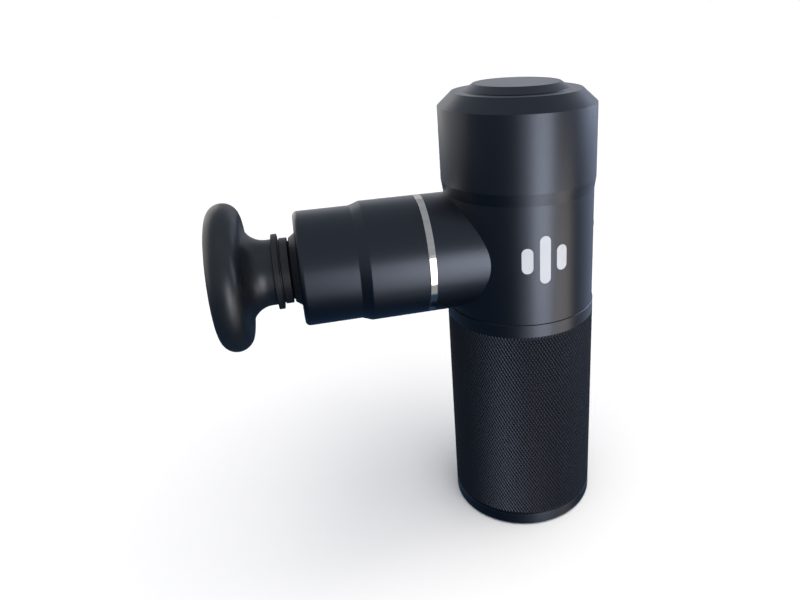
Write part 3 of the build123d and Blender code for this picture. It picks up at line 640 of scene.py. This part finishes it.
def barrel():
    """Barrel with a shallow cone and a rounded nose."""
    start, nose = -ring_low.x, -barrel_low.x
    spigot_start = -barrel_high.x
    spigot = neck_bore - 0.1 * MM
    spigot_bore, mouth = 14.6 * MM, 11.6 * MM
    mouth_edge, mouth_end = 0.4 * MM, nose - 6.1 * MM
    taper = start + 16.9 * MM
    taper_end = taper + 3.1 * MM
    nose_rounding = 1.5 * MM
    obj = turned("barrel_shell", [
        (spigot_start, spigot_bore), (spigot_start, spigot), (start, spigot),
        (start, arm_radius), (taper, arm_radius), (taper_end, nose_radius)]
        + arc((nose - nose_rounding, nose_radius - nose_rounding), nose_rounding, 90, 0, 8)
        + [(nose, mouth + mouth_edge), (nose - mouth_edge, mouth),
           (mouth_end, mouth), (mouth_end, spigot_bore)],
        ARM_AXIS, ARM_ORIGIN)
    soften(obj, 0.16 * MM, angle=12)
    smooth(obj, 25)
    return finish_piece(obj, "casing", "anodised_body", casing_metal, "barrel")


barrel()


def nose_seal():
    """Rubber lip seal that tapers towards the head."""
    nose, tip = -barrel_low.x, -seal_low.x
    bore = 9.5 * MM
    start, flange_end = -seal_high.x, nose - 4.6 * MM
    flange, body, lip = 12.3 * MM, 11.5 * MM, 9.95 * MM
    obj = turned("lip_seal", [
        (start, bore), (start, flange), (flange_end, flange), (flange_end, body),
        (nose - 0.5 * MM, body), (nose, 11.2 * MM), (tip - 0.3 * MM, lip),
        (tip, 9.7 * MM), (tip, bore)], ARM_AXIS, ARM_ORIGIN)
    soften(obj, 0.12 * MM)
    smooth(obj)
    return finish_piece(obj, "casing", "seal_rubber", seal_rubber, "nose_seal")


nose_seal()


# ============================================================================
# Massage head
# ============================================================================
def head_collar():
    """Plug, collar and rib of the massage head."""
    start = -plug_high.x
    shoulder = start + 15.6 * MM
    groove = shoulder + 2.3 * MM
    rib = groove + 0.5 * MM
    rib_end = rib + 1.65 * MM
    end = -plug_low.x
    pole = 3 * MM
    plug, lead_in = 7.05 * MM, 6.3 * MM
    ring_start, ring_end = shoulder - 4.95 * MM, shoulder - 3.05 * MM
    ring_seat = 5.25 * MM                 # floor of the groove for the rubber ring
    collar, groove_floor, rib_radius, tenon = 9.95 * MM, 9.5 * MM, 11.4 * MM, 6 * MM
    obj = turned("ribbed_collar", [
        (start, pole), (start, lead_in), (start + 0.8 * MM, plug),
        (ring_start, plug), (ring_start, ring_seat), (ring_end, ring_seat), (ring_end, plug),
        (shoulder, plug), (shoulder, collar), (groove, collar),
        (groove, groove_floor), (rib, groove_floor), (rib, rib_radius), (rib_end, rib_radius),
        (rib_end, tenon), (end, tenon), (end, pole)],
        ARM_AXIS, ARM_ORIGIN, closed=False)
    soften(obj, 0.14 * MM)
    smooth(obj)
    return finish_piece(obj, "head", "head_plastic", head_plastic, "head_plug")


head_collar()


def mushroom():
    """Mushroom head: concave waist, thick rim with a full round, crowned face."""
    start = -head_high.x
    front = -head_low.x
    rim = 4.56 * MM
    circle = 17.57 * MM
    crown_height = 0.6 * MM
    rim_centre = front - crown_height - rim
    back = rim_centre - rim
    waist, fillet = 9.9 * MM, 6.5 * MM
    pole, tenon, edge = 0.4 * MM, 6 * MM, 0.15 * MM
    outline = [(-plug_low.x, pole), (-plug_low.x, tenon), (start, tenon),
               (start, waist - edge), (start + edge, waist)]
    outline += arc((back - fillet, waist + fillet), fillet, -90, 0, 18)
    outline += arc((rim_centre, circle), rim, 180, 0, 40)[1:]
    face_steps = 14
    for i in range(1, face_steps):
        r = circle * (1 - i / face_steps)
        outline.append((front - crown_height * (r / circle) ** 2, r))
    outline.append((front, pole))
    obj = turned("mushroom_head", outline, ARM_AXIS, ARM_ORIGIN, closed=False, segments=224)
    smooth(obj, 35)
    return finish_piece(obj, "head", "head_rubber", head_rubber, "head_body")


mushroom()


# ============================================================================
# Controls and mark
# ============================================================================
def power_key():
    """Round key with a dished face."""
    origin = Vector((0, 0, key_z))
    back, front = button_low.x, button_high.x
    pole, radius, flange = 1 * MM, 5.0 * MM, 6 * MM
    flange_front = back + 0.6 * MM
    edge = 0.5 * MM
    dish = 0.25 * MM
    dish_steps = 8
    outline = [(back, pole), (back, flange), (flange_front, flange), (flange_front, radius)]
    outline += arc((front - edge, radius - edge), edge, 90, 0, 6)
    for i in range(1, dish_steps):
        r = (radius - 0.7 * MM) * (1 - i / dish_steps)
        outline.append((front - dish * (1 - (r / (radius - edge)) ** 2), r))
    obj = turned("power_key", outline, REAR_AXIS, origin, closed=False, segments=96)
    smooth(obj, 35)
    return finish_piece(obj, "button", "button_rubber", key_rubber, "power_button")


power_key()


def power_sign():
    """Generic on and off sign on the key: an open ring with an upright bar."""
    origin = Vector((0, 0, key_z))
    back, front = button_high.x - 0.32 * MM, button_high.x - 0.10 * MM
    stroke = 0.42 * MM
    outer = 2.0 * MM
    sign = turned("power_sign", [(back, outer - stroke), (back, outer), (front, outer),
                                 (front, outer - stroke)], REAR_AXIS, origin, segments=96)
    cut(sign, block((front, 0, key_z + outer), (2 * MM, 1.5 * MM, 2.2 * MM)))
    join(sign, block(((back + front) / 2, 0, key_z + 1.35 * MM), (front - back, stroke, 2.1 * MM)))
    soften(sign, 0.06 * MM, segments=2, angle=40)
    smooth(sign)
    return finish_piece(sign, "button", "button_rubber", mark_ink)


power_sign()


def pulse_mark():
    """Generic mark: three upright bars of a pulse, printed on the housing."""
    thickness = 0.05 * MM
    bars = [(-5.4, 8.0), (0.0, 15.0), (5.4, 8.0)]
    width = 3.4 * MM
    centre_z = arm_z + 1.8 * MM
    low, high = centre_z - 12 * MM, centre_z + 12 * MM
    under, over = mid_radius - 0.1 * MM, mid_radius + thickness
    print_film = turned("pulse_mark", [(low, under), (high, under), (high, over), (low, over)],
                        segments=256)
    tool = None
    for x, height in bars:
        bar = block((x * MM, -mid_radius, centre_z), (width, 12 * MM, height * MM))
        round_ends(bar, 1, width, 14)
        if tool is None:
            tool = bar
        else:
            join(tool, bar)
    cut(print_film, tool, "INTERSECT")
    smooth(print_film, 25)
    return finish_piece(print_film, "casing", "anodised_body", mark_ink)


pulse_mark()


# ============================================================================
# CAD nodes that keep their shape
# ============================================================================
# Shafts and bearings: bright, with ground rings.
steel = turned_metal("ground bearing steel", "#8C8B88", "#B4B3AF", (0.18, 0.32),
                     0.30 * MM, 0.003 * MM)
# A stack of stamped sheets, duller than solid steel.
laminated_steel = turned_metal("laminated electrical steel", "#6F6E6C", "#9A9996", (0.35, 0.5),
                               0.5 * MM, 0.02 * MM)
# Near-black and oily.
oxide_steel = moulded("black-oxide steel", "#1A1A1C", "#262628", (0.32, 0.46),
                      0.3 * MM, 0.004 * MM, specular=0.8)
# Pale and grainy from the mould.
cast_aluminium = anodised("bare die-cast aluminium", "#8E8F92", "#A6A7AA", (0.40, 0.55), 0.3,
                          0.5, 0.5 * MM, 0.02 * MM)
# Grey, with rings along the piston.
turned_aluminium = turned_metal("hard-anodised turned aluminium", "#8E8F92", "#ABACAF",
                                (0.28, 0.42), 0.3 * MM, 0.003 * MM, grain=(1.0, 0.02, 0.02))
# Warm brown-gold and slightly porous.
bronze = turned_metal("sintered bronze", "#7D5B2C", "#A57C40", (0.4, 0.55),
                      0.3 * MM, 0.004 * MM)
# Wound wire, one ring for each turn.
copper = turned_metal("enamelled copper wire", "#8A4A22", "#C0703A", (0.25, 0.4),
                      0.55 * MM, 0.12 * MM)
# Yellowish mirror plate.
nickel_plate = turned_metal("nickel plate", "#A8A69E", "#C4C2BA", (0.18, 0.3),
                            0.4 * MM, 0.001 * MM)
# Off-white and waxy.
acetal = moulded("natural acetal", "#D6D3CB", "#E2E0D8", (0.35, 0.5), 0.4 * MM, 0.003 * MM)
# Dull black moulding.
black_abs = moulded("moulded black ABS", "#141416", "#1C1C1E", (0.45, 0.6),
                    0.3 * MM, 0.008 * MM)
# Glossy green lacquer over the weave.
circuit_green = moulded("solder mask on glass laminate", "#0B3B1E", "#125029", (0.3, 0.45),
                        0.6 * MM, 0.006 * MM)
# Matt black packages.
chip_epoxy = moulded("moulded epoxy", "#101012", "#18181A", (0.55, 0.7),
                     0.3 * MM, 0.004 * MM, patch=2 * MM)
# Shiny blue wrap.
cell_wrap = moulded("heat-shrunk PVC", "#123C7A", "#184A92", (0.25, 0.4),
                    1.5 * MM, 0.01 * MM)
# Supple red jacket.
wire_jacket = moulded("silicone wire jacket", "#7A1512", "#921C18", (0.45, 0.6),
                      0.3 * MM, 0.004 * MM)
# Dull and full of tiny cells.
foam = moulded("closed-cell EVA foam", "#1A1A1B", "#242425", (0.8, 0.95),
               0.4 * MM, 0.05 * MM)
# Milky and faintly blue, glossy at the tip.
light_guide = moulded("frosted polycarbonate", "#AEB8C0", "#C8D0D6", (0.18, 0.3),
                      0.3 * MM, 0.003 * MM, patch=1 * MM)

node_finishes = {
    steel: ["motor_shaft", "crank_pin", "wrist_pin", "big_end_bearing", "motor_bearings",
            "usb_socket", "crank_wheel", "rotor_bell"],
    laminated_steel: ["stator_core"],
    oxide_steel: ["guide_screws", "motor_screws", "board_screws"],
    cast_aluminium: ["crankcase", "guide_tube", "motor_plate", "coupling_collar",
                     "connecting_rod"],
    turned_aluminium: ["piston"],
    bronze: ["small_end_bush"],
    copper: ["stator_coils"],
    nickel_plate: ["rotor_magnets", "cell_straps"],
    acetal: ["guide_bush"],
    black_abs: ["lower_cell_holder", "upper_cell_holder"],
    circuit_green: ["main_board", "battery_board"],
    chip_epoxy: ["board_chips", "tact_switch"],
    cell_wrap: ["battery_cells"],
    wire_jacket: ["motor_leads", "battery_leads"],
    foam: ["battery_cushion"],
    seal_rubber: ["damping_rings", "head_o_ring"],
    light_guide: ["light_pipes"],
}
for material, names in node_finishes.items():
    for name in names:
        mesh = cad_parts[name].data
        mesh.materials.clear()
        mesh.materials.append(material)


# ============================================================================
# Floor, lights and camera
# ============================================================================
def floor():
    """Plain pale matt floor. Glossy surfaces don't pick it up, so they stay dark."""
    bpy.ops.object.select_all(action="DESELECT")
    bpy.ops.mesh.primitive_plane_add(size=60, location=(0, 0, 0))
    obj = bpy.context.object
    obj.name = "floor"
    obj.data.materials.append(
        moulded("matt white floor", "#F0F0F0", "#F4F4F4", (0.85, 0.95), 1.0 * MM, 0.01 * MM,
                specular=0.1, patch=300 * MM))
    obj.visible_glossy = False
    obj.visible_shadow = False


floor()


def softbox(name, bearing, distance, low, high, width, radiance, colour, lights_all=False):
    """An upright softbox facing the handle, on a compass bearing from -Y towards +X.

    Most are there to be reflected, and leave the floor and the matt parts alone.
    """
    toward = Vector((sin(radians(bearing)), -cos(radians(bearing)), 0))
    return panel(name, toward * distance + Vector((0, 0, (low + high) / 2)), -toward,
                 width, high - low, radiance, colour, lights_all)


def panel(name, place, facing, width, height, radiance, colour, lights_all=False):
    """A plain rectangle of light that the camera doesn't see."""
    data = bpy.data.lights.new(name, "AREA")
    data.shape = "RECTANGLE"
    data.size, data.size_y = width, height
    data.energy = radiance * pi * width * height
    data.color = srgb(colour)[:3]
    obj = bpy.data.objects.new(name, data)
    bpy.context.scene.collection.objects.link(obj)
    obj.location = place
    obj.rotation_euler = facing.to_track_quat("-Z", "Y").to_euler()
    obj.visible_camera = False
    obj.visible_diffuse = lights_all


softbox("window", 15.4, 0.38, -0.10, 0.145, 0.19, 4.3, "#F2F4FF", lights_all=True)
softbox("window's lower half", 15.4, 0.38, -0.28, -0.10, 0.19, 2.4, "#F2F4FF")
softbox("window's edge", -8, 0.40, -0.20, 0.16, 0.10, 0.7, "#F4F4FF")
softbox("warm wall", 50, 0.60, -0.42, -0.01, 0.30, 2.0, "#FFEEDD")
softbox("cool wall", 112, 1.00, -0.60, 0.60, 0.90, 0.32, "#DCE6FF")
softbox("high wall", 98, 0.80, 0.06, 0.50, 0.70, 3.6, "#DCE6FF")
softbox("far wall", 165, 1.20, -0.10, 0.80, 1.00, 0.20, "#FFF8EE")
softbox("pale wall", 228, 0.90, -0.05, 0.70, 1.40, 0.85, "#FFF6EA")
# The pale floor below the arm, which its underside and the bright ring pick up.
panel("floor glow", Vector((-0.018, -0.105, -0.02)), Vector((0, 0, 1)), 0.035, 0.09, 0.36,
      "#F4F2F0")


def daylight():
    """Soft light from above, which lights the floor and the matt parts."""
    data = bpy.data.lights.new("soft daylight", "SUN")
    data.energy = 2.9
    data.angle = radians(70)
    data.color = srgb("#FFFAF3")[:3]
    obj = bpy.data.objects.new("soft daylight", data)
    bpy.context.scene.collection.objects.link(obj)
    obj.rotation_euler = (radians(12), radians(8), 0)
    obj.visible_glossy = False


daylight()


def studio():
    """A pale backdrop, and dim surroundings to reflect: grey above and slate below."""
    world = bpy.data.worlds.new("studio")
    bpy.context.scene.world = world
    world.use_nodes = True
    tree = world.node_tree
    tree.nodes.clear()
    direction = add_node(tree, "ShaderNodeTexCoord").outputs["Generated"]
    height = add_node(tree, "ShaderNodeSeparateXYZ", links={"Vector": direction}).outputs["Z"]
    rise = add_node(tree, "ShaderNodeMapRange", {"From Min": -0.45, "From Max": 0.25},
                    {"Value": height}, interpolation_type="SMOOTHSTEP")
    room = add_node(tree, "ShaderNodeMix", {6: srgb("#283F5B"), 7: srgb("#979FAC")},
                    {0: rise.outputs["Result"]}, data_type="RGBA")
    reflected = add_node(tree, "ShaderNodeBackground", links={"Color": room.outputs[2]})
    backdrop = add_node(tree, "ShaderNodeBackground", {"Color": srgb("#FFFFFF")})
    seen = add_node(tree, "ShaderNodeLightPath").outputs["Is Camera Ray"]
    mix = add_node(tree, "ShaderNodeMixShader", links={
        0: seen, 1: reflected.outputs["Background"], 2: backdrop.outputs["Background"]})
    add_node(tree, "ShaderNodeOutputWorld", links={"Surface": mix.outputs["Shader"]})


studio()


def camera():
    """A camera in front of the gun, a little above it and to the arm's side."""
    data = bpy.data.cameras.new("camera")
    data.sensor_width = 36
    data.lens = 29.9
    data.shift_x = -0.0923
    data.shift_y = -0.0650
    obj = bpy.data.objects.new("camera", data)
    bpy.context.scene.collection.objects.link(obj)
    bpy.context.scene.camera = obj
    yaw, pitch, roll = radians(14.766), radians(-20.137), radians(-2.208)
    ahead = Vector((sin(yaw) * cos(pitch), cos(yaw) * cos(pitch), sin(pitch)))
    level = Vector((cos(yaw), -sin(yaw), 0))
    upright = level.cross(ahead)
    right = level * cos(roll) + upright * sin(roll)
    top = upright * cos(roll) - level * sin(roll)
    turn = Matrix((right, top, -ahead)).transposed()
    obj.matrix_world = Matrix.Translation((-0.06694, -0.19550, 0.16891)) @ turn.to_4x4()
    data.clip_start, data.clip_end = 0.01, 20


camera()
bpy.context.scene.view_settings.view_transform = "Standard"
